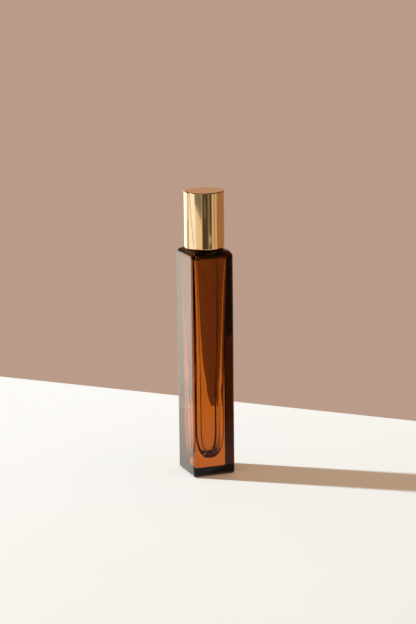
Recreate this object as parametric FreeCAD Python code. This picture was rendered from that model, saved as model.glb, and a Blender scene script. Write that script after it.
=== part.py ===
import FreeCAD, Part
import math
import os
from FreeCAD import Vector

# A square glass roll-on bottle with a round metal-sheathed cap. Millimetres, +Z up,
# the origin under the middle of the base on the surface that the bottle stands on.

# Glass bottle: outside
body_side = 19.0
body_edge_radius = 0.75
shoulder_height = 98.9
shoulder_radius = 2.6
heel_radius = 1.3
punt_diameter = 13.2
punt_depth = 0.6
punt_slope_run = 1.6

# Glass bottle: inside, a hollow that widens upwards as the glass thins
base_thickness = 6.8
wall_at_base = 3.6
wall_at_flare = 3.4
wall_at_shoulder = 2.2
flare_length = 21.0
cavity_side_flat = 5.0
cavity_floor_flat = 3.2
shoulder_thickness = 2.3
cavity_shoulder_radius = 1.4

# Roller ball and the housing that is pushed into the neck
ball_diameter = 8.73
ball_clearance = 0.05
ball_centre_above_rim = 1.4
socket_wall = 0.665
lip_angle = 25.0
lip_above_centre = 2.6
lip_width = 0.75
collar_wall = 1.05
seat_angle = 35.0
seat_width = 1.2
seat_thickness = 0.9
plug_clearance = 0.02
plug_depth = 7.6
plug_lead_in = 0.5
plug_wall = 0.9
flange_height = 1.2
flange_inset = 0.2
flange_edge_chamfer = 0.3

# Glass bottle: neck, as wide as the housing needs
neck_wall = 1.2
neck_height = 14.2
neck_rim_radius = 0.4
neck_bore_chamfer = 0.3

# Cap: metal shell, threaded plastic liner and the sealing disc trapped in it
cap_gap = 0.5
thread_room = 0.85
liner_wall = 0.93
liner_clearance = 0.02
liner_recess = 0.4
liner_top_thickness = 1.1
shell_wall = 0.45
shell_top_radius = 0.5
shell_rim_chamfer = 0.15
disc_thickness = 1.6
disc_edge_chamfer = 0.2
disc_above_ball = 0.15
disc_play = 0.1
disc_cup_gap = 0.85
disc_cup_wall = 0.8
disc_bead_overlap = 0.4
disc_bead_height = 0.5
disc_stop_inset = 1.4
disc_stop_wall = 1.5
disc_stop_height = 1.635

# Flats that make up a small quarter round
round_flats = 2

# Radii that follow, from the ball outwards to the metal shell
body_half = body_side / 2
ball_radius = ball_diameter / 2
socket_radius = ball_radius + ball_clearance
plug_radius = socket_radius + socket_wall
bore_radius = plug_radius + plug_clearance
neck_radius = bore_radius + neck_wall
liner_bore_radius = neck_radius + thread_room
liner_radius = liner_bore_radius + liner_wall
shell_bore_radius = liner_radius + liner_clearance
cap_radius = shell_bore_radius + shell_wall
cup_radius = liner_bore_radius - disc_cup_gap
cup_bore_radius = cup_radius - disc_cup_wall
disc_radius = cup_bore_radius - disc_play

# Heights that follow, from the shoulder up to the top of the cap
rim_height = shoulder_height + neck_height
ball_height = rim_height + ball_centre_above_rim
cap_bottom = shoulder_height + cap_gap
disc_bottom = ball_height + ball_radius + disc_above_ball
disc_top = disc_bottom + disc_thickness
stop_bottom = disc_top + disc_play
liner_ceiling = stop_bottom + disc_stop_height
shell_ceiling = liner_ceiling + liner_top_thickness
cap_top = shell_ceiling + shell_wall


def rounded_square(half, corner, z):
    """Closed wire of a square with rounded corners, centred on the axis at height z."""
    straight = half - corner
    bend = straight + corner * math.sqrt(0.5)
    edges = []
    for quarter in range(4):
        turn = FreeCAD.Rotation(Vector(0, 0, 1), 90 * quarter)
        start = turn.multVec(Vector(half, -straight, z))
        end = turn.multVec(Vector(half, straight, z))
        bend_middle = turn.multVec(Vector(bend, bend, z))
        bend_end = turn.multVec(Vector(straight, half, z))
        edges.append(Part.LineSegment(start, end).toShape())
        edges.append(Part.Arc(end, bend_middle, bend_end).toShape())
    return Part.Wire(edges)


def tapering_tube(rings, corner):
    """Solid of flat sides and round corners through (half width, height) rings, bottom first."""
    half, z = rings[0]
    floor = Part.Face(rounded_square(half, corner, z)).reversed()
    half, z = rings[-1]
    faces = [floor, Part.Face(rounded_square(half, corner, z))]
    for (low_half, low_z), (high_half, high_z) in zip(rings, rings[1:]):
        low = low_half - corner
        high = high_half - corner
        bend = low + corner * math.sqrt(0.5)
        low_left = Vector(low_half, -low, low_z)
        low_right = Vector(low_half, low, low_z)
        high_left = Vector(high_half, -high, high_z)
        high_right = Vector(high_half, high, high_z)
        side = Part.Face(Part.makePolygon([low_left, low_right, high_right, high_left, low_left]))
        arc = Part.Arc(low_right, Vector(bend, bend, low_z), Vector(low, low_half, low_z))
        bent_corner = arc.toShape().extrude(Vector(high - low, high - low, high_z - low_z))
        for quarter in range(4):
            for face in (side, bent_corner):
                faces.append(face.rotated(Vector(0, 0, 0), Vector(0, 0, 1), 90 * quarter))
    shell = Part.Shell(faces)
    shell.sewShape()
    return Part.Solid(shell)


def round_level_edges(solid, z, radius):
    """Rounds the edges of a solid that lie at height z."""
    edges = []
    for edge in solid.Edges:
        box = edge.BoundBox
        if abs(box.ZMin - z) < Part.Precision.confusion() and box.ZLength < Part.Precision.confusion():
            edges.append(edge)
    return solid.makeFillet(radius, edges)


def quarter_round(centre_r, centre_z, radius, start_angle):
    """Points of a quarter round in the profile plane, anticlockwise from an angle in degrees."""
    points = []
    for flat in range(round_flats + 1):
        turn = math.radians(start_angle + 90 * flat / round_flats)
        points.append((centre_r + radius * math.cos(turn), centre_z + radius * math.sin(turn)))
    return points


def turned(points):
    """Solid of revolution about Z from the (radius, height) corners of its profile."""
    corners = [Vector(radius, 0, height) for radius, height in points]
    face = Part.Face(Part.makePolygon(corners + corners[:1]))
    return face.revolve(Vector(0, 0, 0), Vector(0, 0, 1), 360)


def glass_outside():
    """Square body with its rounded edges, heel and shoulder, and the round neck on top."""
    corner = Vector(-body_half, -body_half, 0)
    block = Part.makeBox(body_side, body_side, shoulder_height, corner)
    uprights = [edge for edge in block.Edges if edge.BoundBox.ZLength > shoulder_height / 2]
    body = block.makeFillet(body_edge_radius, uprights)
    body = round_level_edges(body, 0, heel_radius)
    body = round_level_edges(body, shoulder_height, shoulder_radius)
    neck_bottom = shoulder_height - shoulder_radius
    rim = quarter_round(neck_radius - neck_rim_radius, rim_height - neck_rim_radius, neck_rim_radius, 0)
    neck = turned([(0, neck_bottom), (neck_radius, neck_bottom), *rim, (0, rim_height)])
    return body.fuse(neck)


def glass_cavity():
    """Hollow for the liquid: bowl-shaped floor, widening square wall, shoulder and round bore."""
    low = base_thickness
    roof = shoulder_height - shoulder_thickness
    high = roof - cavity_shoulder_radius
    half_low = body_half - wall_at_base
    half_high = body_half - wall_at_shoulder
    rings = [(half_low, low), (body_half - wall_at_flare, high - flare_length)]
    rings += quarter_round(half_high - cavity_shoulder_radius, high, cavity_shoulder_radius, 0)
    wall = tapering_tube(rings, half_low - cavity_side_flat / 2)
    wall = round_level_edges(wall, low, half_low - cavity_floor_flat / 2)
    bore = turned([
        (0, high),
        (bore_radius, high),
        (bore_radius, rim_height - neck_bore_chamfer),
        (bore_radius + neck_bore_chamfer, rim_height),
        (0, rim_height)])
    return wall.fuse(bore)


def glass_bottle():
    """Thick glass bottle, with a shallow hollow under the base that leaves a ring to stand on."""
    punt_radius = punt_diameter / 2
    punt = Part.makeCone(punt_radius, punt_radius - punt_slope_run, punt_depth)
    return glass_outside().cut(glass_cavity()).cut(punt).removeSplitter()


def roller_housing():
    """Plastic fitment: plug, flange on the rim, and a socket whose lip and seat hold the ball."""
    plug_bottom = rim_height - plug_depth
    plug_bore_radius = plug_radius - plug_wall
    flange_radius = neck_radius - flange_inset
    flange_top = rim_height + flange_height
    orifice_radius = socket_radius - seat_width
    lip = math.radians(lip_angle)
    seat = math.radians(seat_angle)
    lip_top = ball_height + lip_above_centre
    lip_bore_radius = (socket_radius - lip_above_centre * math.sin(lip)) / math.cos(lip)
    lip_start = ball_height + socket_radius * math.tan(lip / 2)
    seat_start = ball_height - socket_radius * math.tan(seat / 2)
    seat_end = ball_height - (socket_radius - orifice_radius * math.cos(seat)) / math.sin(seat)
    seat_bottom = seat_end - seat_thickness
    return turned([
        (plug_bore_radius, plug_bottom),
        (plug_radius - plug_lead_in, plug_bottom),
        (plug_radius, plug_bottom + plug_lead_in),
        (plug_radius, rim_height),
        (flange_radius, rim_height),
        (flange_radius, flange_top - flange_edge_chamfer),
        (flange_radius - flange_edge_chamfer, flange_top),
        (socket_radius + collar_wall, flange_top),
        (lip_bore_radius + lip_width, lip_top),
        (lip_bore_radius, lip_top),
        (socket_radius, lip_start),
        (socket_radius, seat_start),
        (orifice_radius, seat_end),
        (orifice_radius, seat_bottom),
        (plug_bore_radius, seat_bottom - (plug_bore_radius - orifice_radius))])


def roller_ball():
    """Steel ball that carries the liquid out as it turns in the housing."""
    return Part.makeSphere(ball_radius, Vector(0, 0, ball_height))


def sealing_disc():
    """Plastic disc held loosely in the liner, just above the ball when the cap is on."""
    return turned([
        (0, disc_bottom),
        (disc_radius - disc_edge_chamfer, disc_bottom),
        (disc_radius, disc_bottom + disc_edge_chamfer),
        (disc_radius, disc_top - disc_edge_chamfer),
        (disc_radius - disc_edge_chamfer, disc_top),
        (0, disc_top)])


def cap_liner():
    """Plastic inner cap: skirt over the neck, ceiling, disc cup with its bead, and disc stop."""
    bottom = cap_bottom + liner_recess
    bead_radius = disc_radius - disc_bead_overlap
    bead_top = disc_bottom - disc_play
    bead_bottom = bead_top - disc_bead_height
    stop_radius = disc_radius - disc_stop_inset
    stop_bore_radius = stop_radius - disc_stop_wall
    return turned([
        (liner_radius, bottom),
        (liner_radius, shell_ceiling),
        (0, shell_ceiling),
        (0, liner_ceiling),
        (stop_bore_radius, liner_ceiling),
        (stop_bore_radius, stop_bottom),
        (stop_radius, stop_bottom),
        (stop_radius, liner_ceiling),
        (cup_bore_radius, liner_ceiling),
        (cup_bore_radius, bead_top),
        (bead_radius, bead_top),
        (bead_radius, bead_bottom),
        (cup_radius, bead_bottom),
        (cup_radius, liner_ceiling),
        (liner_bore_radius, liner_ceiling),
        (liner_bore_radius, bottom)])


def cap_shell():
    """Drawn metal sleeve over the liner, closed at the top, with small rounded edges."""
    top_edge = quarter_round(
        cap_radius - shell_top_radius, cap_top - shell_top_radius, shell_top_radius, 0)
    return turned([
        (shell_bore_radius, cap_bottom),
        (cap_radius - shell_rim_chamfer, cap_bottom),
        (cap_radius, cap_bottom + shell_rim_chamfer),
        *top_edge,
        (0, cap_top),
        (0, shell_ceiling),
        (shell_bore_radius, shell_ceiling)])


pieces = {
    "glass_bottle": glass_bottle,
    "roller_housing": roller_housing,
    "roller_ball": roller_ball,
    "sealing_disc": sealing_disc,
    "cap_liner": cap_liner,
    "cap_shell": cap_shell,
}

os.makedirs("parts", exist_ok=True)
for name, make_piece in pieces.items():
    make_piece().exportStep("parts/" + name + ".step")
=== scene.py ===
"""Roll-on bottle: coated glass body, ball fitment and metal-sheathed screw cap on its CAD frame."""

import math

import bmesh
import bpy
from mathutils import Matrix, Vector


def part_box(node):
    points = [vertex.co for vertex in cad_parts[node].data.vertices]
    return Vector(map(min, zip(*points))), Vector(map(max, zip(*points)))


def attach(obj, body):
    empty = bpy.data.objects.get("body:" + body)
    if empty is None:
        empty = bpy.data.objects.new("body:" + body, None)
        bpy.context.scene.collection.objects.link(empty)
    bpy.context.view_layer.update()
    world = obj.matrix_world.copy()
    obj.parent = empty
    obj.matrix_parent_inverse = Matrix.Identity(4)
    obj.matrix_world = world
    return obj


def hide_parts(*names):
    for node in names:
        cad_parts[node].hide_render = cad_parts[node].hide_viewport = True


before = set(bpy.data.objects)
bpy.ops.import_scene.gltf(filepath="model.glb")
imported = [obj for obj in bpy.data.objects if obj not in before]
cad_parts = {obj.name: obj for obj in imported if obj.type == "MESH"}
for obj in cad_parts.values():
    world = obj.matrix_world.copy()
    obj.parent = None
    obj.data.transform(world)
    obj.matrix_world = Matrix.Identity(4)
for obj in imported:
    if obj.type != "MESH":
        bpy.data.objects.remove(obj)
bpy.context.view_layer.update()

bl_info = {
    "name": "Roll-on bottle",
    "version": (1, 0, 0),
    "blender": (4, 5, 0),
    "location": "View3D > Sidebar > Roll-on",
    "description": "Builds a square glass roll-on bottle with a ball fitment and a screw cap",
    "category": "Object",
}

MM = 0.001
# Points closer than this are one point
DOUBLES = 1e-6

# Steps of the meshes
CORNER_STEPS = 15
RING_POINTS = 4 * (CORNER_STEPS + 1)
TURNED_STEPS = 96
SHELL_STEPS = 128
ROUND_STEPS = 5
THREAD_ROWS = 60
PUNT_STEPS = 8
HEEL_STEPS = 8
SIDE_STEPS = 6
SHOULDER_STEPS = 10
FLOOR_STEPS = 14
HOLLOW_STEPS = 40
ROOF_STEPS = 8

# Turns of the thread on the neck and in the liner
NECK_TURNS = 2.2
LINER_TURNS = 3.0

# Angle, in degrees, from which an edge is shaded sharp
CREASE = 35.0
BALL_CREASE = 60.0

# Material slots of the glass
COAT = 0
INSIDE = 1

GLASS_IOR = 1.5
PLASTIC_IOR = 1.49
# Share of light mirrored inside the glass that counts as all of it
ALL_MIRRORED = 0.995

glass_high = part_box("glass_bottle")[1]
ball_low, ball_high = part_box("roller_ball")
disc_low, disc_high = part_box("sealing_disc")
liner_low, liner_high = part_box("cap_liner")
shell_low, shell_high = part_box("cap_shell")
housing_low, housing_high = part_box("roller_housing")


def length(name, default, description):
    """A length in metres for a panel."""
    return bpy.props.FloatProperty(
        name=name, description=description, default=default, min=0.0, precision=5, unit="LENGTH")


def colour(name, default, description):
    """A linear colour for a panel."""
    return bpy.props.FloatVectorProperty(
        name=name, description=description, default=default, min=0.0, soft_max=1.0, size=3, subtype="COLOR")


class GlassSizes(bpy.types.PropertyGroup):
    """Sizes of the glass bottle."""
    half_side: length("Half side", glass_high.x, "Half the width of the square body")
    edge_radius: length("Edge radius", 0.9 * MM, "Rounding of the upright edges")
    heel_radius: length("Heel radius", 1.3 * MM, "Rounding where the body meets the base")
    shoulder_height: length("Shoulder height", 98.9 * MM, "Height of the flat shoulder")
    shoulder_radius: length("Shoulder radius", 2.6 * MM, "Rounding of the shoulder")
    shoulder_corner: length("Shoulder corner", 2.0 * MM, "Corner radius of the flat shoulder")
    punt_radius: length("Punt radius", 6.6 * MM, "Radius of the hollow under the base")
    punt_depth: length("Punt depth", 0.6 * MM, "Depth of the hollow under the base")
    floor_height: length("Floor height", 6.8 * MM, "Thickness of the base")
    floor_radius: length("Floor rounding", 4.6 * MM, "Rounding of the floor of the hollow, sideways")
    floor_rise: length("Floor rise", 12.0 * MM, "Height over which the hollow rounds into its floor")
    hollow_low: length("Hollow half width, low", 6.5 * MM, "Half width of the hollow near the base")
    hollow_high: length("Hollow half width, high", 7.5 * MM, "Half width of the hollow at the shoulder")
    flare_start: length("Flare start", 40.0 * MM, "Height at which the hollow begins to flare")
    corner_low: length("Hollow corner, low", 6.15 * MM, "Corner radius of the hollow near the base")
    corner_high: length("Hollow corner, high", 2.4 * MM, "Corner radius of the hollow at the shoulder")
    roof_height: length("Roof height", 96.6 * MM, "Height of the roof of the hollow")
    roof_radius: length("Roof rounding", 1.4 * MM, "Rounding under the shoulder")
    neck_radius: length("Neck radius", 6.3 * MM, "Outside radius of the neck")
    bore_radius: length("Bore radius", 5.1 * MM, "Radius of the hole through the neck")
    neck_root: length("Neck root", 0.45 * MM, "Rounding where the neck meets the shoulder")
    thread_height: length("Thread height", 0.65 * MM, "How far the thread stands out from the neck")
    thread_width: length("Thread width", 1.1 * MM, "Width of the thread at its foot")
    thread_pitch: length("Thread pitch", 2.117 * MM, "Rise of the thread in one turn")
    thread_start: length("Thread start", 104.2 * MM, "Height at which the thread begins")


class FitmentSizes(bpy.types.PropertyGroup):
    """Sizes of the housing and the ball."""
    ball_radius: length("Ball radius", ball_high.x, "Radius of the steel ball")
    socket_gap: length("Socket gap", 0.05 * MM, "Room between the ball and its socket")
    plug_radius: length("Plug radius", 5.08 * MM, "Radius of the plug in the neck")
    plug_wall: length("Plug wall", 0.9 * MM, "Wall of the plug below the seat")
    seal_groove: length("Seal groove", 0.18 * MM, "Depth of the grooves between the seal rings")
    flange_radius: length("Flange radius", 6.1 * MM, "Radius of the flange on the rim")
    flange_height: length("Flange height", 1.2 * MM, "Thickness of the flange")
    lip_width: length("Lip width", 0.75 * MM, "Width of the lip round the ball")
    collar_wall: length("Collar wall", 1.05 * MM, "Wall of the collar above the flange")


class CapSizes(bpy.types.PropertyGroup):
    """Sizes of the cap's shell, liner and disc."""
    shell_radius: length("Shell radius", shell_high.x, "Outside radius of the metal shell")
    shell_wall: length("Shell wall", 0.45 * MM, "Thickness of the metal")
    top_radius: length("Top rounding", 0.55 * MM, "Rounding of the top edge")
    rim_radius: length("Rim rounding", 0.42 * MM, "Rounding of the open rim")
    liner_radius: length("Liner radius", liner_high.x, "Outside radius of the plastic liner")
    liner_bore: length("Liner bore", 7.15 * MM, "Inside radius of the liner")
    liner_thread: length("Liner thread", 0.6 * MM, "How far the liner's thread stands inwards")
    disc_radius: length("Disc radius", disc_high.x, "Radius of the sealing disc")


class Finishes(bpy.types.PropertyGroup):
    """Colours of the finishes."""
    amber: colour("Amber coat", (0.53, 0.12, 0.012), "Colour of light through the coated glass")
    coat_dark: colour("Coat from inside", (0.06, 0.036, 0.022), "Mirror colour of the coat from within")
    clear: colour("Clear glass", (0.97, 0.97, 0.965), "Colour of the uncoated inside of the glass")
    gold: colour("Gold", (0.86, 0.62, 0.36), "Anodised aluminium of the shell")
    steel: colour("Steel", (0.66, 0.65, 0.64), "Polished steel of the ball")
    natural: colour("Natural plastic", (0.80, 0.80, 0.77), "Milky plastic of the housing")
    white: colour("White plastic", (0.84, 0.83, 0.80), "Plastic of the liner and the disc")


class StageSettings(bpy.types.PropertyGroup):
    """Table, light and camera."""
    table: colour("Table", (0.965, 0.955, 0.93), "Colour of the table top at the back")
    # Painted shade: the table's tone in front, darker and warmer where the light falls off
    table_front_falloff_shade: colour("Table, near", (0.845, 0.80, 0.742), "Colour of the table top in front")
    # Painted light: warm light from the amber glass, painted into the table beside the foot
    table_foot_glass_glow: colour(
        "Table, at the foot", (1.0, 0.935, 0.87), "Colour of the table beside the glass, which warms it")
    wall: colour("Wall", (0.491, 0.328, 0.251), "Colour of the plain wall behind")
    sun: colour("Sun colour", (0.660, 0.835, 0.960), "Colour of the key light")
    sun_strength: bpy.props.FloatProperty(
        name="Sun strength", description="Strength of the key light", default=3.73, min=0.0)
    sun_height: bpy.props.FloatProperty(
        name="Sun height", description="Angle of the key light above the table",
        default=math.radians(40.0), subtype="ANGLE")
    sun_turn: bpy.props.FloatProperty(
        name="Sun turn", description="Direction of the key light round the bottle, from +X",
        default=math.radians(145.2), subtype="ANGLE")
    sun_spread: bpy.props.FloatProperty(
        name="Sun spread", description="Width of the key light in the sky",
        default=math.radians(2.2), subtype="ANGLE")
    fill: colour("Fill", (0.515, 0.370, 0.255), "Light of the room that fills the shadows")
    seen_through: bpy.props.FloatProperty(
        name="Seen through glass", description="Share of the wall's light that reaches the glass from behind",
        default=0.36, min=0.0)
    edge_distance: length("Table edge", 111.0 * MM, "Distance of the table's back edge from the bottle")
    edge_turn: bpy.props.FloatProperty(
        name="Edge turn", description="Direction of the table's back edge", default=math.radians(-45.5),
        subtype="ANGLE")
    table_size: length("Table size", 3.0, "Side of the table top")
    table_thickness: length("Table thickness", 30.0 * MM, "Thickness of the table top")
    mirror_reach: length("Mirror reach", 0.29, "How far the table shows in mirror reflections")
    camera_place: bpy.props.FloatVectorProperty(
        name="Camera place", description="Where the camera stands", default=(-0.31414, -0.83655, 0.26917),
        size=3, subtype="TRANSLATION", unit="LENGTH")
    camera_turn: bpy.props.FloatVectorProperty(
        name="Camera turn", description="How the camera is turned",
        default=(math.radians(77.4827), math.radians(0.6342), math.radians(-20.8008)), size=3, subtype="EULER")
    camera_lens: bpy.props.FloatProperty(
        name="Lens", description="Focal length in millimetres", default=122.6, min=1.0)


class RollOnBottle(bpy.types.PropertyGroup):
    """Everything that the panel shows."""
    glass: bpy.props.PointerProperty(type=GlassSizes)
    fitment: bpy.props.PointerProperty(type=FitmentSizes)
    cap: bpy.props.PointerProperty(type=CapSizes)
    finishes: bpy.props.PointerProperty(type=Finishes)
    stage: bpy.props.PointerProperty(type=StageSettings)


class Wire:
    """An output socket of a shader; sums on it add Math nodes to its tree."""

    def __init__(self, shader, socket):
        self.shader = shader
        self.socket = socket

    def output(self, name):
        """Another output of the same node."""
        return Wire(self.shader, self.socket.node.outputs[name])

    def maths(self, operation, first, second):
        return self.shader.add("ShaderNodeMath", {"operation": operation}, {0: first, 1: second})

    def __add__(self, other):
        return self.maths("ADD", self, other)

    def __radd__(self, other):
        return self.maths("ADD", other, self)

    def __sub__(self, other):
        return self.maths("SUBTRACT", self, other)

    def __rsub__(self, other):
        return self.maths("SUBTRACT", other, self)

    def __mul__(self, other):
        return self.maths("MULTIPLY", self, other)

    def __rmul__(self, other):
        return self.maths("MULTIPLY", other, self)

    def __truediv__(self, other):
        return self.maths("DIVIDE", self, other)

    def __rtruediv__(self, other):
        return self.maths("DIVIDE", other, self)

    def __gt__(self, other):
        return self.maths("GREATER_THAN", self, other)


class Shader:
    """The node tree of a material or a world, emptied."""

    def __init__(self, owner):
        owner.use_nodes = True
        self.owner = owner
        self.nodes = owner.node_tree.nodes
        self.links = owner.node_tree.links
        self.nodes.clear()

    def add(self, kind, settings=None, values=None, out=0):
        """Adds a node: its settings first, then the values or links of its sockets."""
        node = self.nodes.new(kind)
        for key, value in (settings or {}).items():
            if key == "stops":
                self.set_stops(node.color_ramp, value)
            else:
                setattr(node, key, value)
        for key, value in (values or {}).items():
            socket = node.inputs[key]
            if isinstance(value, Wire):
                self.links.new(value.socket, socket)
            elif socket.type == "RGBA":
                socket.default_value = (*value, 1.0)
            else:
                socket.default_value = value
        return Wire(self, node.outputs[out]) if node.outputs else None

    def set_stops(self, ramp, stops):
        """Gives a colour ramp its (place, colour) stops."""
        while len(ramp.elements) < len(stops):
            ramp.elements.new(1.0)
        for element, (place, shade) in zip(ramp.elements, stops):
            element.position = place
            element.color = (*shade, 1.0)

    def blend(self, factor, first, second):
        """Colour between two colours."""
        return self.add("ShaderNodeMix", {"data_type": "RGBA"}, {0: factor, 6: first, 7: second}, out=2)

    def mix(self, factor, first, second):
        """Shader between two shaders."""
        return self.add("ShaderNodeMixShader", None, {0: factor, 1: first, 2: second})

    def vary(self, factor, tone, darker, lighter):
        """A colour that wanders between two shades of itself."""
        return self.blend(factor, shade(tone, darker), shade(tone, lighter))

    def coordinates(self, scale=(1.0, 1.0, 1.0)):
        """Object coordinates, stretched."""
        place = self.add("ShaderNodeTexCoord", out="Object")
        return self.add("ShaderNodeMapping", None, {"Vector": place, "Scale": scale}, out="Vector")

    def noise(self, place, scale, detail=2.0):
        """Soft noise from 0 to 1."""
        return self.add("ShaderNodeTexNoise", None, {"Vector": place, "Scale": scale, "Detail": detail})

    def ramp(self, value, start, end):
        """From 0 at the start to 1 at the end, level beyond them."""
        return self.add(
            "ShaderNodeMapRange", {"clamp": True}, {"Value": value, "From Min": start, "From Max": end})

    def larger(self, first, second):
        """The larger of two values."""
        return self.add("ShaderNodeMath", {"operation": "MAXIMUM"}, {0: first, 1: second})

    def bump(self, height, strength, distance):
        """Normal that follows a height."""
        return self.add(
            "ShaderNodeBump", None, {"Height": height, "Strength": strength, "Distance": distance}, out="Normal")

    def surface(self, shader):
        """Ends the tree in a shader."""
        in_world = isinstance(self.owner, bpy.types.World)
        self.add("ShaderNodeOutputWorld" if in_world else "ShaderNodeOutputMaterial", None, {"Surface": shader})
        return self.owner


def shade(tone, factor):
    """A colour made lighter or darker."""
    return tuple(part * factor for part in tone)


def new_shader(name):
    """An empty material and its shader."""
    return Shader(bpy.data.materials.new(name))


def amber_glass(finishes):
    """Clear glass with an amber coat on its outside, which darkens what mirrors in it from within."""
    shader = new_shader("amber_coated_glass")
    cloud = shader.noise(shader.coordinates(), scale=70.0)
    amber = shader.vary(cloud, finishes.amber, darker=0.94, lighter=1.06)
    glass = shader.add("ShaderNodeBsdfPrincipled", None, {
        "Base Color": amber, "Roughness": 0.0, "IOR": GLASS_IOR, "Transmission Weight": 1.0})
    dark = shader.add("ShaderNodeBsdfGlossy", None, {"Color": tuple(finishes.coat_dark), "Roughness": 0.0})
    mirrored = shader.add("ShaderNodeFresnel", None, {"IOR": GLASS_IOR}) > ALL_MIRRORED
    within = shader.add("ShaderNodeNewGeometry", out="Backfacing")
    return shader.surface(shader.mix(mirrored * within, glass, dark))


def clear_glass(finishes):
    """The uncoated inside of the glass, a little wavy from the mould."""
    shader = new_shader("clear_glass_inside")
    place = shader.coordinates((1.0, 1.0, 0.35))
    wave = shader.noise(place, scale=160.0, detail=1.0)
    clear = shader.vary(wave, finishes.clear, darker=0.985, lighter=1.0)
    return shader.surface(shader.add("ShaderNodeBsdfPrincipled", None, {
        "Base Color": clear, "Roughness": 0.0, "IOR": GLASS_IOR, "Transmission Weight": 1.0,
        "Normal": shader.bump(wave, strength=0.25, distance=0.05 * MM)}))


def gold_aluminium(finishes):
    """Polished aluminium, anodised light gold, with the faint rings of its turning."""
    shader = new_shader("gold_aluminium")
    rings = shader.noise(shader.coordinates((0.02, 0.02, 1.0)), scale=5200.0, detail=3.0)
    cloud = shader.noise(shader.coordinates(), scale=140.0)
    gold = shader.vary(cloud, finishes.gold, darker=0.97, lighter=1.02)
    return shader.surface(shader.add("ShaderNodeBsdfPrincipled", None, {
        "Base Color": gold, "Metallic": 1.0, "Roughness": 0.02 + 0.02 * rings + 0.01 * cloud,
        "Normal": shader.bump(rings, strength=0.01, distance=0.01 * MM)}))


def polished_steel(finishes):
    """Polished steel with hairline marks from rolling."""
    shader = new_shader("polished_steel")
    marks = shader.noise(shader.coordinates((1.0, 0.05, 1.0)), scale=4200.0, detail=4.0)
    steel = shader.vary(marks, finishes.steel, darker=0.96, lighter=1.03)
    return shader.surface(shader.add("ShaderNodeBsdfPrincipled", None, {
        "Base Color": steel, "Metallic": 1.0, "Roughness": 0.05 + 0.06 * marks}))


def milky_plastic(finishes):
    """Natural polyethylene: milky, soft-looking, lightly glossy."""
    shader = new_shader("milky_plastic")
    cloud = shader.noise(shader.coordinates(), scale=320.0)
    grain = shader.noise(shader.coordinates(), scale=5200.0, detail=1.0)
    tone = shader.vary(cloud, finishes.natural, darker=0.95, lighter=1.03)
    return shader.surface(shader.add("ShaderNodeBsdfPrincipled", None, {
        "Base Color": tone, "Roughness": 0.30 + 0.08 * grain, "IOR": 1.5, "Subsurface Weight": 0.35,
        "Subsurface Radius": (1.0, 0.95, 0.9), "Subsurface Scale": 1.2 * MM,
        "Normal": shader.bump(grain, strength=0.05, distance=0.02 * MM)}))


def white_plastic(name, finishes, tone_factor, grain_scale):
    """Moulded white plastic with a fine spark-eroded grain."""
    shader = new_shader(name)
    cloud = shader.noise(shader.coordinates(), scale=260.0)
    grain = shader.noise(shader.coordinates(), scale=grain_scale)
    tone = shader.vary(cloud, shade(finishes.white, tone_factor), darker=0.96, lighter=1.03)
    return shader.surface(shader.add("ShaderNodeBsdfPrincipled", None, {
        "Base Color": tone, "Roughness": 0.42 + 0.12 * grain, "IOR": PLASTIC_IOR,
        "Normal": shader.bump(grain, strength=0.10, distance=0.02 * MM)}))


def wire(bm, points, rounds, closed):
    """Edges through (radius, height) points in the XZ plane, with rounds at some of them."""
    corners = [bm.verts.new((radius, 0.0, height)) for radius, height in points]
    for first, second in zip(corners, corners[1:]):
        bm.edges.new((first, second))
    if closed:
        bm.edges.new((corners[-1], corners[0]))
    for index, radius in rounds.items():
        bmesh.ops.bevel(
            bm, geom=[corners[index]], offset=radius, offset_type="OFFSET", segments=ROUND_STEPS,
            profile=0.5, affect="VERTICES", material=-1)


def spin_about_axis(bm, steps):
    """Turns everything in the mesh about the bottle's axis."""
    bmesh.ops.spin(
        bm, geom=bm.verts[:] + bm.edges[:], cent=(0, 0, 0), axis=(0, 0, 1), angle=math.tau, steps=steps,
        use_merge=True)


def spin_to_rings(bm):
    """Turns a profile about the axis with its points in line with those of the square rings."""
    bmesh.ops.rotate(
        bm, verts=bm.verts, cent=(0, 0, 0), matrix=Matrix.Rotation(math.pi / RING_POINTS, 3, "Z"))
    spin_about_axis(bm, RING_POINTS)
    close_up(bm)


def turned(points, rounds, closed=True, steps=TURNED_STEPS):
    """Mesh turned about the axis from a profile."""
    bm = bmesh.new()
    wire(bm, points, rounds, closed)
    spin_about_axis(bm, steps)
    close_up(bm)
    return bm


def close_up(bm):
    """Merges doubles and turns the faces outwards."""
    bmesh.ops.remove_doubles(bm, verts=bm.verts, dist=DOUBLES)
    bmesh.ops.recalc_face_normals(bm, faces=bm.faces)


def place_piece(bm, name, node, body, materials, crease=CREASE):
    """Makes the mesh an object that stands for a CAD node and moves with its body."""
    if bm.calc_volume(signed=True) < 0.0:
        bmesh.ops.reverse_faces(bm, faces=bm.faces)
    mesh = bpy.data.meshes.new(name)
    bm.to_mesh(mesh)
    bm.free()
    for material in materials:
        mesh.materials.append(material)
    mesh.shade_smooth()
    mesh.set_sharp_from_angle(angle=math.radians(crease))
    piece = bpy.data.objects.new(name, mesh)
    bpy.context.scene.collection.objects.link(piece)
    weighted = piece.modifiers.new("Even shading", "WEIGHTED_NORMAL")
    weighted.keep_sharp = True
    weighted.weight = 100
    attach(piece, body)
    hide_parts(node)


def square_ring(bm, half, corner, height):
    """Edges of a square with rounded corners at a height."""
    made = bmesh.ops.create_grid(
        bm, x_segments=1, y_segments=1, size=half, matrix=Matrix.Translation((0, 0, height)))
    made = bmesh.ops.bevel(
        bm, geom=made["verts"], offset=corner, offset_type="OFFSET", segments=CORNER_STEPS, profile=0.5,
        affect="VERTICES", material=-1)
    face = made["verts"][0].link_faces[0]
    edges = face.edges[:]
    bmesh.ops.delete(bm, geom=[face], context="FACES_ONLY")
    return edges


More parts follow.
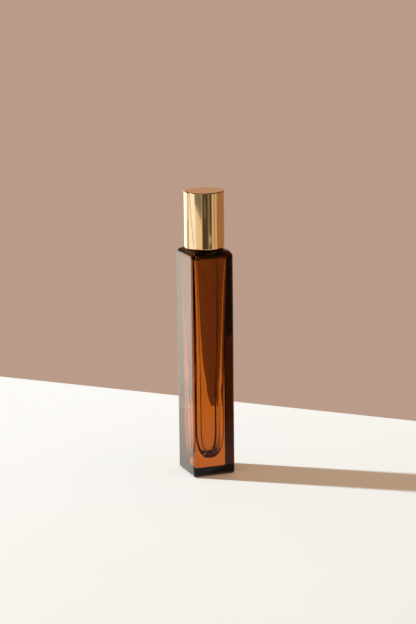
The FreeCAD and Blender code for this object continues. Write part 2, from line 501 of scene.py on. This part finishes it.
def open_ring(bm, height):
    """Open edges of the mesh at a height."""
    return [edge for edge in bm.edges
            if edge.is_boundary and all(abs(vert.co.z - height) < DOUBLES for vert in edge.verts)]


def bridge_rings(bm, rings, material):
    """Skins one ring after another."""
    for first, second in zip(rings, rings[1:]):
        made = bmesh.ops.bridge_loops(bm, edges=first + second)
        for face in made["faces"]:
            face.material_index = material


def quarter(steps):
    """Angles of a quarter turn, from nothing to a right angle."""
    return [math.pi / 2 * step / steps for step in range(steps + 1)]


def ease(share):
    """Smooth step from 0 to 1."""
    share = min(max(share, 0.0), 1.0)
    return share * share * (3.0 - 2.0 * share)


def ridge(angle, height, start, pitch, turns, width):
    """Share of a screw thread's height at a place on its cylinder, from 0 to 1."""
    lead_in, steepness = 0.12, 1.6
    best = 0.0
    for turn in range(-1, math.ceil(turns) + 1):
        along = angle / math.tau + turn
        offset = (height - start - pitch * along) / (width / 2)
        if abs(offset) < 1.0 and 0.0 < along < turns:
            ends = min(ease(along / lead_in), ease((turns - along) / lead_in))
            best = max(best, ends * ease(steepness * (1.0 - abs(offset))))
    return best


def cut_thread(bm, radius, depth, start, pitch, turns, width):
    """Moves the points of a cylinder of that radius out, or in, along a screw thread."""
    for vert in bm.verts:
        around = math.hypot(vert.co.x, vert.co.y)
        if abs(around - radius) > DOUBLES:
            continue
        angle = math.atan2(vert.co.y, vert.co.x) % math.tau
        moved = radius + depth * ridge(angle, vert.co.z, start, pitch, turns, width)
        vert.co.x *= moved / around
        vert.co.y *= moved / around


def neck_and_bore(sizes, rim):
    """Threaded neck, rim and bore of the glass, open at both lower ends."""
    neck, bore, root = sizes.neck_radius, sizes.bore_radius, sizes.neck_root
    shoulder, roof = sizes.shoulder_height, sizes.roof_height
    rim_band, outer_round, inner_round, root_round = 0.6 * MM, 0.4 * MM, 0.3 * MM, 0.98 * root
    low, high = shoulder + root, rim - rim_band
    points = [(neck + root, shoulder), (neck, shoulder)]
    points += [(neck, low + (high - low) * row / THREAD_ROWS) for row in range(THREAD_ROWS + 1)]
    points += [(neck, rim), (bore, rim), (bore, roof), (bore + root, roof)]
    last = len(points) - 1
    rounds = {1: root_round, last - 3: outer_round, last - 2: inner_round, last - 1: root_round}
    bm = bmesh.new()
    wire(bm, points, rounds, False)
    spin_to_rings(bm)
    cut_thread(
        bm, neck, sizes.thread_height, sizes.thread_start, sizes.thread_pitch, NECK_TURNS, sizes.thread_width)
    middle = (neck + bore) / 2
    for face in bm.faces:
        centre = face.calc_center_median()
        face.material_index = COAT if math.hypot(centre.x, centre.y) > middle else INSIDE
    return bm


def punt(sizes):
    """Shallow dome under the base."""
    bm = bmesh.new()
    depth = sizes.punt_depth
    radius = (sizes.punt_radius ** 2 + depth ** 2) / (2 * depth)
    top = bm.verts.new((0, 0, depth))
    bmesh.ops.spin(
        bm, geom=[top], cent=(0, 0, depth - radius), axis=(0, 1, 0), steps=PUNT_STEPS,
        angle=math.asin(sizes.punt_radius / radius))
    spin_to_rings(bm)
    return bm


def join(bm, other):
    """Adds another mesh to this one."""
    mesh = bpy.data.meshes.new("part")
    other.to_mesh(mesh)
    other.free()
    bm.from_mesh(mesh)
    bpy.data.meshes.remove(mesh)


def hollow_at(sizes, height):
    """Half width and corner radius of the hollow at a height: it widens late, its corners tighten early."""
    widening, tightening = 2, 0.6
    high = sizes.roof_height - sizes.roof_radius
    flare = max((height - sizes.flare_start) / (high - sizes.flare_start), 0.0)
    half = sizes.hollow_low + (sizes.hollow_high - sizes.hollow_low) * flare ** widening
    corner = sizes.corner_low + (sizes.corner_high - sizes.corner_low) * flare ** tightening
    return half, corner


def glass_mesh(sizes):
    """The bottle's glass in one closed skin: punt, heel, sides, shoulder, neck, bore and hollow."""
    half, edge = sizes.half_side, sizes.edge_radius
    rim = glass_high.z
    bm = neck_and_bore(sizes, rim)
    join(bm, punt(sizes))
    outside = [open_ring(bm, 0.0)]
    heel = sizes.heel_radius
    for turn in quarter(HEEL_STEPS):
        inset = heel * (1.0 - math.sin(turn))
        outside.append(square_ring(bm, half - inset, edge, heel * (1.0 - math.cos(turn))))
    top = sizes.shoulder_height - sizes.shoulder_radius
    for step in range(1, SIDE_STEPS):
        outside.append(square_ring(bm, half, edge, heel + (top - heel) * step / SIDE_STEPS))
    for turn in quarter(SHOULDER_STEPS):
        corner = edge + (sizes.shoulder_corner - edge) * turn / (math.pi / 2)
        inset = sizes.shoulder_radius * (1.0 - math.cos(turn))
        outside.append(square_ring(bm, half - inset, corner, top + sizes.shoulder_radius * math.sin(turn)))
    outside.append(open_ring(bm, sizes.shoulder_height))
    bridge_rings(bm, outside, COAT)
    low = sizes.floor_height + sizes.floor_rise
    high = sizes.roof_height - sizes.roof_radius
    least_flat = 0.05 * MM
    inside = []
    wide, corner = hollow_at(sizes, low)
    for turn in quarter(FLOOR_STEPS)[::-1]:
        narrow = wide - sizes.floor_radius * (1.0 - math.cos(turn))
        height = sizes.floor_height + sizes.floor_rise * (1.0 - math.sin(turn))
        inside.append(square_ring(bm, narrow, min(corner, narrow - least_flat), height))
    for step in range(1, HOLLOW_STEPS + 1):
        height = low + (high - low) * step / HOLLOW_STEPS
        inside.append(square_ring(bm, *hollow_at(sizes, height), height))
    wide, corner = hollow_at(sizes, high)
    roof = open_ring(bm, sizes.roof_height)
    for turn in quarter(ROOF_STEPS)[1:]:
        inset = sizes.roof_radius * (1.0 - math.cos(turn))
        inside.append(square_ring(bm, wide - inset, corner, high + sizes.roof_radius * math.sin(turn)))
    inside.append(roof)
    bmesh.ops.edgeloop_fill(bm, edges=inside[0], mat_nr=INSIDE)
    bridge_rings(bm, inside, INSIDE)
    close_up(bm)
    return bm


def housing_mesh(sizes):
    """Plug with seal rings, flange on the rim, collar, and the socket with its lip and seat."""
    rim = glass_high.z
    centre = (ball_low.z + ball_high.z) / 2
    socket = sizes.ball_radius + sizes.socket_gap
    lip, seat = math.radians(25.0), math.radians(35.0)
    lip_top = housing_high.z
    lip_bore = (socket - (lip_top - centre) * math.sin(lip)) / math.cos(lip)
    orifice = socket - 1.2 * MM
    seat_end = centre - (socket - orifice * math.cos(seat)) / math.sin(seat)
    seat_bottom = seat_end - 0.9 * MM
    plug, bore = sizes.plug_radius, sizes.plug_radius - sizes.plug_wall
    bottom, top = housing_low.z, rim + sizes.flange_height
    lead_in = 0.5 * MM
    groove = plug - sizes.seal_groove
    points = [(bore, bottom), (plug - lead_in, bottom), (plug, bottom + lead_in)]
    for groove_height in (2.0 * MM, 3.6 * MM, 5.2 * MM):
        foot = bottom + groove_height
        points += [(plug, foot), (groove, foot + 0.25 * MM), (groove, foot + 0.55 * MM), (plug, foot + 0.8 * MM)]
    flange = len(points)
    points += [
        (plug, rim),
        (sizes.flange_radius, rim),
        (sizes.flange_radius, top),
        (socket + sizes.collar_wall, top),
        (lip_bore + sizes.lip_width, lip_top),
        (lip_bore, lip_top),
        (socket, centre + socket * math.tan(lip / 2)),
        (socket, centre - socket * math.tan(seat / 2)),
        (orifice, seat_end),
        (orifice, seat_bottom),
        (bore, seat_bottom - (bore - orifice))]
    rounds = {
        flange + 1: 0.15 * MM, flange + 2: 0.35 * MM, flange + 3: 0.3 * MM, flange + 4: 0.25 * MM,
        flange + 5: 0.15 * MM, flange + 6: 0.8 * MM, flange + 7: 1.0 * MM}
    return turned(points, rounds)


def ball_mesh(sizes):
    """Steel ball: a half circle turned about the axis."""
    bm = bmesh.new()
    centre = Vector((0, 0, (ball_low.z + ball_high.z) / 2))
    pole = bm.verts.new(centre + Vector((0, 0, sizes.ball_radius)))
    bmesh.ops.spin(bm, geom=[pole], cent=centre, axis=(0, 1, 0), angle=math.pi, steps=TURNED_STEPS // 2)
    spin_about_axis(bm, TURNED_STEPS)
    close_up(bm)
    return bm


def disc_mesh(sizes):
    """Sealing disc with eased edges and a shallow dish over the ball."""
    low, high, radius = disc_low.z, disc_high.z, sizes.disc_radius
    dish = 0.12 * MM
    return turned(
        [(0, low + dish), (radius - 2.0 * MM, low + dish), (radius - 1.6 * MM, low), (radius, low),
         (radius, high), (radius - 1.5 * MM, high), (radius - 1.8 * MM, high - dish), (0, high - dish)],
        {3: 0.25 * MM, 4: 0.25 * MM}, closed=False)


def liner_mesh(sizes, glass):
    """Inner cap: threaded skirt, ceiling, cup that traps the disc, and the stop above it."""
    bottom, top = liner_low.z, liner_high.z
    outer, bore, disc = sizes.liner_radius, sizes.liner_bore, sizes.disc_radius
    ceiling = top - 1.1 * MM
    cup, cup_bore = bore - 0.85 * MM, disc + 0.1 * MM
    bead_top = disc_low.z - 0.1 * MM
    bead_bottom = bead_top - 0.5 * MM
    stop, stop_bore, stop_bottom = disc - 1.4 * MM, disc - 2.9 * MM, disc_high.z + 0.1 * MM
    skirt_high, skirt_low = 113.0 * MM, bottom + 0.8 * MM
    skirt = [
        (bore, skirt_high - (skirt_high - skirt_low) * row / THREAD_ROWS) for row in range(THREAD_ROWS + 1)]
    points = [
        (0, ceiling), (stop_bore, ceiling), (stop_bore, stop_bottom), (stop, stop_bottom), (stop, ceiling),
        (cup_bore, ceiling), (cup_bore, bead_top), (disc - 0.4 * MM, bead_top), (disc - 0.4 * MM, bead_bottom),
        (cup, bead_bottom), (cup, ceiling), (bore, ceiling), *skirt,
        (bore, bottom), (outer, bottom), (outer, top), (0, top)]
    last = len(points) - 1
    rounds = {
        2: 0.15 * MM, 3: 0.15 * MM, 7: 0.1 * MM, 8: 0.2 * MM, 9: 0.2 * MM,
        last - 3: 0.3 * MM, last - 2: 0.2 * MM, last - 1: 0.3 * MM}
    bm = turned(points, rounds, closed=False)
    start = glass.thread_start - glass.thread_pitch / 2 - glass.thread_pitch
    cut_thread(bm, bore, -sizes.liner_thread, start, glass.thread_pitch, LINER_TURNS, glass.thread_width)
    return bm


def shell_mesh(sizes):
    """Drawn metal sleeve: rounded top edge, thin wall and an eased rim."""
    bottom, top = shell_low.z, shell_high.z
    outer, bore = sizes.shell_radius, sizes.shell_radius - sizes.shell_wall
    ceiling = top - sizes.shell_wall
    inner_round = 0.02 * MM
    points = [(0, top), (outer, top), (outer, bottom), (bore, bottom), (bore, ceiling), (0, ceiling)]
    rounds = {1: sizes.top_radius, 2: sizes.rim_radius, 3: inner_round}
    return turned(points, rounds, closed=False, steps=SHELL_STEPS)


class ROLLON_OT_glass(bpy.types.Operator):
    """Builds the glass bottle"""
    bl_idname = "rollon.glass"
    bl_label = "Glass bottle"

    def execute(self, context):
        bottle = context.scene.roll_on_bottle
        materials = (amber_glass(bottle.finishes), clear_glass(bottle.finishes))
        place_piece(
            glass_mesh(bottle.glass), "coated_glass", "glass_bottle", "bottle", materials)
        return {"FINISHED"}


class ROLLON_OT_housing(bpy.types.Operator):
    """Builds the housing that holds the ball in the neck"""
    bl_idname = "rollon.housing"
    bl_label = "Ball housing"

    def execute(self, context):
        bottle = context.scene.roll_on_bottle
        place_piece(
            housing_mesh(bottle.fitment), "ball_housing", "roller_housing", "bottle",
            (milky_plastic(bottle.finishes),))
        return {"FINISHED"}


class ROLLON_OT_ball(bpy.types.Operator):
    """Builds the steel ball"""
    bl_idname = "rollon.ball"
    bl_label = "Steel ball"

    def execute(self, context):
        bottle = context.scene.roll_on_bottle
        place_piece(
            ball_mesh(bottle.fitment), "steel_ball", "roller_ball", "roller",
            (polished_steel(bottle.finishes),), BALL_CREASE)
        return {"FINISHED"}


class ROLLON_OT_disc(bpy.types.Operator):
    """Builds the sealing disc in the cap"""
    bl_idname = "rollon.disc"
    bl_label = "Sealing disc"

    def execute(self, context):
        bottle = context.scene.roll_on_bottle
        material = white_plastic("disc_plastic", bottle.finishes, tone_factor=1.03, grain_scale=3600.0)
        place_piece(
            disc_mesh(bottle.cap), "seal_disc", "sealing_disc", "disc", (material,))
        return {"FINISHED"}


class ROLLON_OT_liner(bpy.types.Operator):
    """Builds the threaded liner of the cap"""
    bl_idname = "rollon.liner"
    bl_label = "Cap liner"

    def execute(self, context):
        bottle = context.scene.roll_on_bottle
        material = white_plastic("liner_plastic", bottle.finishes, tone_factor=1.0, grain_scale=2600.0)
        place_piece(
            liner_mesh(bottle.cap, bottle.glass), "threaded_liner", "cap_liner", "cap",
            (material,))
        return {"FINISHED"}


class ROLLON_OT_shell(bpy.types.Operator):
    """Builds the metal shell of the cap"""
    bl_idname = "rollon.shell"
    bl_label = "Cap shell"

    def execute(self, context):
        bottle = context.scene.roll_on_bottle
        place_piece(
            shell_mesh(bottle.cap), "gold_sleeve", "cap_shell", "cap",
            (gold_aluminium(bottle.finishes),))
        return {"FINISHED"}


def table_mesh(stage):
    """Thin table top with an eased edge, its top at the bottle's foot."""
    bm = bmesh.new()
    size, thick = stage.table_size, stage.table_thickness
    edge_round, gap = 0.6 * MM, 0.02 * MM
    bmesh.ops.create_cube(bm, size=1.0, matrix=Matrix.Diagonal((size, size, thick, 1.0)))
    rim = [edge for edge in bm.edges if all(vert.co.z > 0.0 for vert in edge.verts)]
    bmesh.ops.bevel(
        bm, geom=rim, offset=edge_round, offset_type="OFFSET", segments=3, profile=0.5, affect="EDGES",
        material=-1)
    bmesh.ops.translate(bm, verts=bm.verts, vec=(0.0, stage.edge_distance - size / 2, -thick / 2 - gap))
    bmesh.ops.rotate(
        bm, verts=bm.verts, cent=(0, 0, 0), matrix=Matrix.Rotation(stage.edge_turn, 3, "Z"))
    return bm


def mirror_share(shader):
    """1 for rays that come straight from a mirror reflection, 0 for the rest."""
    light = shader.add("ShaderNodeLightPath", out="Is Glossy Ray")
    return light * (1.0 - light.output("Is Transmission Ray"))


# Painted shade: the table top is painted darker and warmer towards the front, where the light falls off; it
# pales along this direction, between these two distances from the bottle
FALLOFF_DIRECTION = (-0.62, 0.85, 0.0)
FALLOFF_START, FALLOFF_END = -0.20, 0.12
# Painted light: the warm light that the amber glass throws round its foot is painted into the table, fully up to
# the first distance, and not at all from the second
FOOT_NEAR, FOOT_FAR = 12.0 * MM, 36.0 * MM
# Share of the mirror rays that pass the table at the foot: everywhere, and right of the left face
PASS_LEFT, PASS_FRONT = 0.58, 0.5
# X over which the second share comes in, and distances over which it grows to all
FRONT_LEFT, FRONT_RIGHT = -14.0 * MM, -8.0 * MM
FRONT_NEAR, FRONT_FAR = 0.01, 0.12


def table_material(stage):
    """Matt pale table, with painted shade darker towards the front and painted warm light from the glass round
    its foot; a share of the mirror rays, more further off, pass it and see the room.
    """
    shader = new_shader("pale_table")
    place = shader.add("ShaderNodeTexCoord", out="Object")
    cloud = shader.noise(place, scale=9.0)
    along = shader.add(
        "ShaderNodeVectorMath", {"operation": "DOT_PRODUCT"}, {0: place, 1: FALLOFF_DIRECTION}, out="Value")
    # Painted shade: the table is painted darker towards the front, where the light falls off
    pale = shader.blend(shader.ramp(along, FALLOFF_START, FALLOFF_END), stage.table_front_falloff_shade, stage.table)
    paler = shader.blend(0.5, pale, stage.table)
    tone = shader.blend(cloud, paler, pale)
    away = shader.add("ShaderNodeVectorMath", {"operation": "LENGTH"}, {0: place}, out="Value")
    # Painted light: the amber glass's warm light, painted into the table round the foot
    tone = shader.blend(1.0 - shader.ramp(away, FOOT_NEAR, FOOT_FAR), tone, stage.table_foot_glass_glow)
    matt = shader.add("ShaderNodeBsdfDiffuse", None, {"Color": tone})
    passed = PASS_LEFT + (1.0 - PASS_LEFT) * shader.ramp(away, 0.0, stage.mirror_reach)
    side = shader.add("ShaderNodeSeparateXYZ", None, {0: place}, out="X")
    front = shader.ramp(side, FRONT_LEFT, FRONT_RIGHT)
    front = front * (PASS_FRONT + (1.0 - PASS_FRONT) * shader.ramp(away, FRONT_NEAR, FRONT_FAR))
    beyond = shader.larger(passed, front) * mirror_share(shader)
    clear = shader.add("ShaderNodeBsdfTransparent")
    return shader.surface(shader.mix(beyond, matt, clear))


# The room that the cap and the glass mirror. Angles are in degrees from the camera, to the right;
# heights are the Z of a direction of length 1. ROOM_TURN turns the room to face the camera.
ROOM_TURN = math.radians(20.58)
WINDOW = (2.55, 2.22, 1.85)
PALE = (1.20, 1.25, 1.35)
WARM = (0.92, 0.80, 0.64)
LAMP = (0.75, 0.60, 0.36)
DIM = (0.46, 0.38, 0.29)
SMOKE = (0.24, 0.21, 0.17)
DARK = (0.085, 0.067, 0.042)
BROWN = (0.39, 0.214, 0.106)
CEILING_BACK = (0.545, 0.325, 0.197)
CEILING_LEFT = (0.20, 0.15, 0.10)
CEILING_RIGHT = (0.09, 0.06, 0.04)
# Upright bands all round: left edge, right edge and tone
ROOM = (
    (-180.0, -171.0, DIM),
    (-168.0, -122.0, WINDOW),
    (-115.0, -105.0, DIM),
    (-97.0, -60.0, PALE),
    (-42.0, -14.0, WARM),
    (-9.0, 18.0, DARK),
    (25.0, 31.0, SMOKE),
    (35.0, 43.0, DARK),
    (47.0, 54.0, LAMP),
    (58.0, 65.0, DIM),
    (69.0, 75.0, LAMP),
    (80.0, 180.0, BROWN),
)
# The ceiling above them: share of the turn and tone
CEILING = (
    (0.03, CEILING_BACK),
    (0.07, CEILING_LEFT),
    (0.45, CEILING_LEFT),
    (0.60, CEILING_RIGHT),
    (0.93, CEILING_RIGHT),
    (0.97, CEILING_BACK),
)
# Panels before the bands: left and right edge, their slants in degrees for each unit of height,
# bottom, top and tone. The slants begin below SLANT_START.
SLANT_START = -0.1652
SOFT_LEFT, SOFT_RIGHT, SOFT_HEIGHT = 4.0, 3.0, 0.001
PANELS = (
    (-120.0, -96.0, 0.0, 0.0, -0.1745, -0.150, WARM),
    (-93.0, -85.0, 1087.0, 1087.0, -0.1885, -0.150, DIM),
    (-58.0, -12.0, 4510.0, 0.0, -0.1885, -0.150, SMOKE),
    (1.0, 8.0, 0.0, 0.0, -0.1735, -0.163, DIM),
    (25.0, 43.0, 0.0, 0.0, -0.1862, -0.1828, WARM),
)
# Heights over which the ceiling takes over from the bands above, and the table's tone below
CEILING_START, CEILING_FULL = 0.02, 0.12
TABLE_START, TABLE_FULL = -0.35, -0.55
# Share of the table's tone that is mirrored there
TABLE_MIRRORED = 0.9
# Share of the wall's light that comes through the glass from above
WALL_ABOVE = 0.08


def room_panels(shader, tone, degrees, height):
    """Lays the panels over the tone of the bands."""
    below = shader.larger(SLANT_START - height, 0.0)
    for left, right, left_slant, right_slant, bottom, top, panel in PANELS:
        inside = shader.ramp(degrees - left_slant * below, left, left + SOFT_LEFT)
        inside = inside * shader.ramp(degrees - right_slant * below, right, right - SOFT_RIGHT)
        inside = inside * shader.ramp(height, bottom, bottom + SOFT_HEIGHT)
        inside = inside * shader.ramp(height, top, top - SOFT_HEIGHT)
        tone = shader.blend(inside, tone, panel)
    return tone


def background(shader, tone, strength=1.0):
    """Light of one colour from all round."""
    return shader.add("ShaderNodeBackground", None, {"Color": tone, "Strength": strength})


def room_world(stage):
    """Plain wall for the camera, a fill for the shadows, and a room of lit and dark bands for mirrors."""
    world = bpy.data.worlds.new("studio")
    bpy.context.scene.world = world
    shader = Shader(world)
    direction = shader.add("ShaderNodeTexCoord", out="Generated")
    turned_to_camera = shader.add(
        "ShaderNodeVectorRotate", {"rotation_type": "Z_AXIS"}, {"Vector": direction, "Angle": ROOM_TURN})
    across = shader.add("ShaderNodeSeparateXYZ", None, {0: turned_to_camera}, out="X")
    height = across.output("Z")
    azimuth = across.maths("ARCTAN2", across, -1.0 * across.output("Y"))
    share = azimuth / math.tau + 0.5
    stops = []
    for start, end, tone in ROOM:
        stops += [((start + 180.0) / 360.0, tone), ((end + 180.0) / 360.0, tone)]
    bands = shader.add("ShaderNodeValToRGB", {"stops": stops}, {"Fac": share}, out="Color")
    bands = room_panels(shader, bands, azimuth * (360.0 / math.tau), height)
    low = shader.ramp(height, TABLE_START, TABLE_FULL)
    bands = shader.blend(low, bands, shade(stage.table, TABLE_MIRRORED))
    ceiling = shader.add("ShaderNodeValToRGB", {"stops": CEILING}, {"Fac": share}, out="Color")
    climb = shader.ramp(height, CEILING_START, CEILING_FULL)
    behind = shader.blend(climb, stage.wall, shade(stage.wall, WALL_ABOVE))
    light = shader.add("ShaderNodeLightPath", out="Is Camera Ray")
    undiffused = 1.0 - shader.ramp(light.output("Diffuse Depth"), 0.0, 1.0)
    seen = shader.mix(light, background(shader, stage.fill), background(shader, stage.wall))
    through = background(shader, behind, stage.seen_through)
    seen = shader.mix(light.output("Is Transmission Ray") * undiffused, seen, through)
    mirrored = background(shader, shader.blend(climb, bands, ceiling))
    shader.surface(shader.mix(mirror_share(shader), seen, mirrored))


class ROLLON_OT_stage(bpy.types.Operator):
    """Builds the table, the light and the camera"""
    bl_idname = "rollon.stage"
    bl_label = "Stage"

    def execute(self, context):
        stage = context.scene.roll_on_bottle.stage
        scene = context.scene
        mesh = bpy.data.meshes.new("table")
        bm = table_mesh(stage)
        bm.to_mesh(mesh)
        bm.free()
        mesh.materials.append(table_material(stage))
        table = bpy.data.objects.new("table", mesh)
        scene.collection.objects.link(table)
        room_world(stage)
        lamp = bpy.data.lights.new("key", "SUN")
        lamp.color = stage.sun
        lamp.energy = stage.sun_strength
        lamp.angle = stage.sun_spread
        key = bpy.data.objects.new("key", lamp)
        level = math.cos(stage.sun_height)
        towards = Vector((
            math.cos(stage.sun_turn) * level, math.sin(stage.sun_turn) * level, math.sin(stage.sun_height)))
        key.location = towards
        key.rotation_euler = towards.to_track_quat("Z", "Y").to_euler()
        scene.collection.objects.link(key)
        lens = bpy.data.cameras.new("camera")
        lens.lens = stage.camera_lens
        lens.clip_start = 0.01
        camera = bpy.data.objects.new("camera", lens)
        camera.location = stage.camera_place
        camera.rotation_euler = stage.camera_turn
        scene.collection.objects.link(camera)
        scene.camera = camera
        scene.view_settings.view_transform = "Standard"
        return {"FINISHED"}


OPERATORS = (
    ROLLON_OT_glass, ROLLON_OT_housing, ROLLON_OT_ball, ROLLON_OT_disc, ROLLON_OT_liner, ROLLON_OT_shell,
    ROLLON_OT_stage)


class VIEW3D_PT_rollon(bpy.types.Panel):
    """Sizes, colours and the buttons that build each piece"""
    bl_label = "Roll-on bottle"
    bl_idname = "VIEW3D_PT_rollon"
    bl_space_type = "VIEW_3D"
    bl_region_type = "UI"
    bl_category = "Roll-on"

    def draw(self, context):
        bottle = context.scene.roll_on_bottle
        for operator in OPERATORS:
            self.layout.operator(operator.bl_idname)
        for group in (bottle.glass, bottle.fitment, bottle.cap, bottle.finishes, bottle.stage):
            box = self.layout.box()
            for name in group.__annotations__:
                box.prop(group, name)


CLASSES = (
    GlassSizes, FitmentSizes, CapSizes, Finishes, StageSettings, RollOnBottle, *OPERATORS, VIEW3D_PT_rollon)


def register():
    for kind in CLASSES:
        bpy.utils.register_class(kind)
    bpy.types.Scene.roll_on_bottle = bpy.props.PointerProperty(type=RollOnBottle)


def unregister():
    del bpy.types.Scene.roll_on_bottle
    for kind in reversed(CLASSES):
        bpy.utils.unregister_class(kind)


def main():
    register()
    bpy.ops.rollon.glass()
    bpy.ops.rollon.housing()
    bpy.ops.rollon.ball()
    bpy.ops.rollon.disc()
    bpy.ops.rollon.liner()
    bpy.ops.rollon.shell()
    bpy.ops.rollon.stage()


if __name__ == "__main__":
    main()
